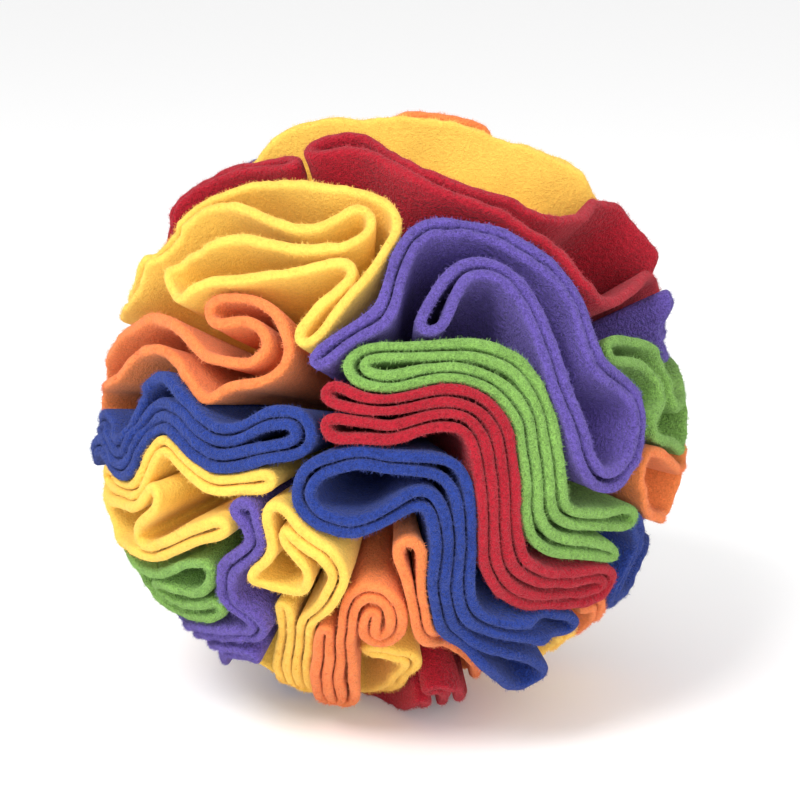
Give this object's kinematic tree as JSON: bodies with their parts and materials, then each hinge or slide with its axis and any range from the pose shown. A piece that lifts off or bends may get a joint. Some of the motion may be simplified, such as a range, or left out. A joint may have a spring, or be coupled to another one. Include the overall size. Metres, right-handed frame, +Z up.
{
  "type": "dog snuffle ball",
  "caption": "Round dog snuffle ball of gathered fleece cloths in red, orange, yellow, green, blue and purple, their cut edges folding back and forth over the whole ball.",
  "frame": {"origin": "on the surface it lies on, under the middle of the ball", "axes": "+Z up, -Y towards the side that the picture shows, +X to the right of someone who looks at that side"},
  "size_m": [0.16, 0.1598, 0.1569],
  "materials": {
    "fleece_red": "matt brushed fleece",
    "fleece_orange": "matt brushed fleece",
    "fleece_yellow": "matt brushed fleece",
    "fleece_green": "matt brushed fleece",
    "fleece_blue": "matt brushed fleece",
    "fleece_purple": "matt brushed fleece"
  },
  "bodies": {
    "root": {"purple_middle": "fleece_purple", "green_middle": "fleece_green", "red_middle": "fleece_red", "blue_middle": "fleece_blue", "blue_left": "fleece_blue", "yellow_left": "fleece_yellow", "yellow_left_low": "fleece_yellow", "green_left_low": "fleece_green", "purple_left_low": "fleece_purple", "purple_left_foot": "fleece_purple", "yellow_low": "fleece_yellow", "orange_low": "fleece_orange", "orange_coil": "fleece_orange", "yellow_upper_left": "fleece_yellow", "orange_left": "fleece_orange", "red_top_right": "fleece_red", "red_top_left": "fleece_red", "yellow_top": "fleece_yellow", "yellow_top_low": "fleece_yellow", "orange_top": "fleece_orange", "purple_right": "fleece_purple", "green_right": "fleece_green", "orange_right": "fleece_orange", "blue_right": "fleece_blue", "orange_right_low": "fleece_orange", "yellow_right_low": "fleece_yellow", "red_bottom": "fleece_red", "yellow_bottom": "fleece_yellow", "red_left_low": "fleece_red", "green_back": "fleece_green", "blue_back": "fleece_blue", "red_back": "fleece_red", "orange_back": "fleece_orange", "purple_back": "fleece_purple", "green_back_low": "fleece_green", "yellow_back": "fleece_yellow", "red_back_high": "fleece_red", "blue_back_high": "fleece_blue", "purple_top": "fleece_purple", "yellow_back_low": "fleece_yellow", "orange_back_right": "fleece_orange", "green_back_middle": "fleece_green", "red_back_left": "fleece_red", "purple_right_low": "fleece_purple"}
  },
  "joints": []
}
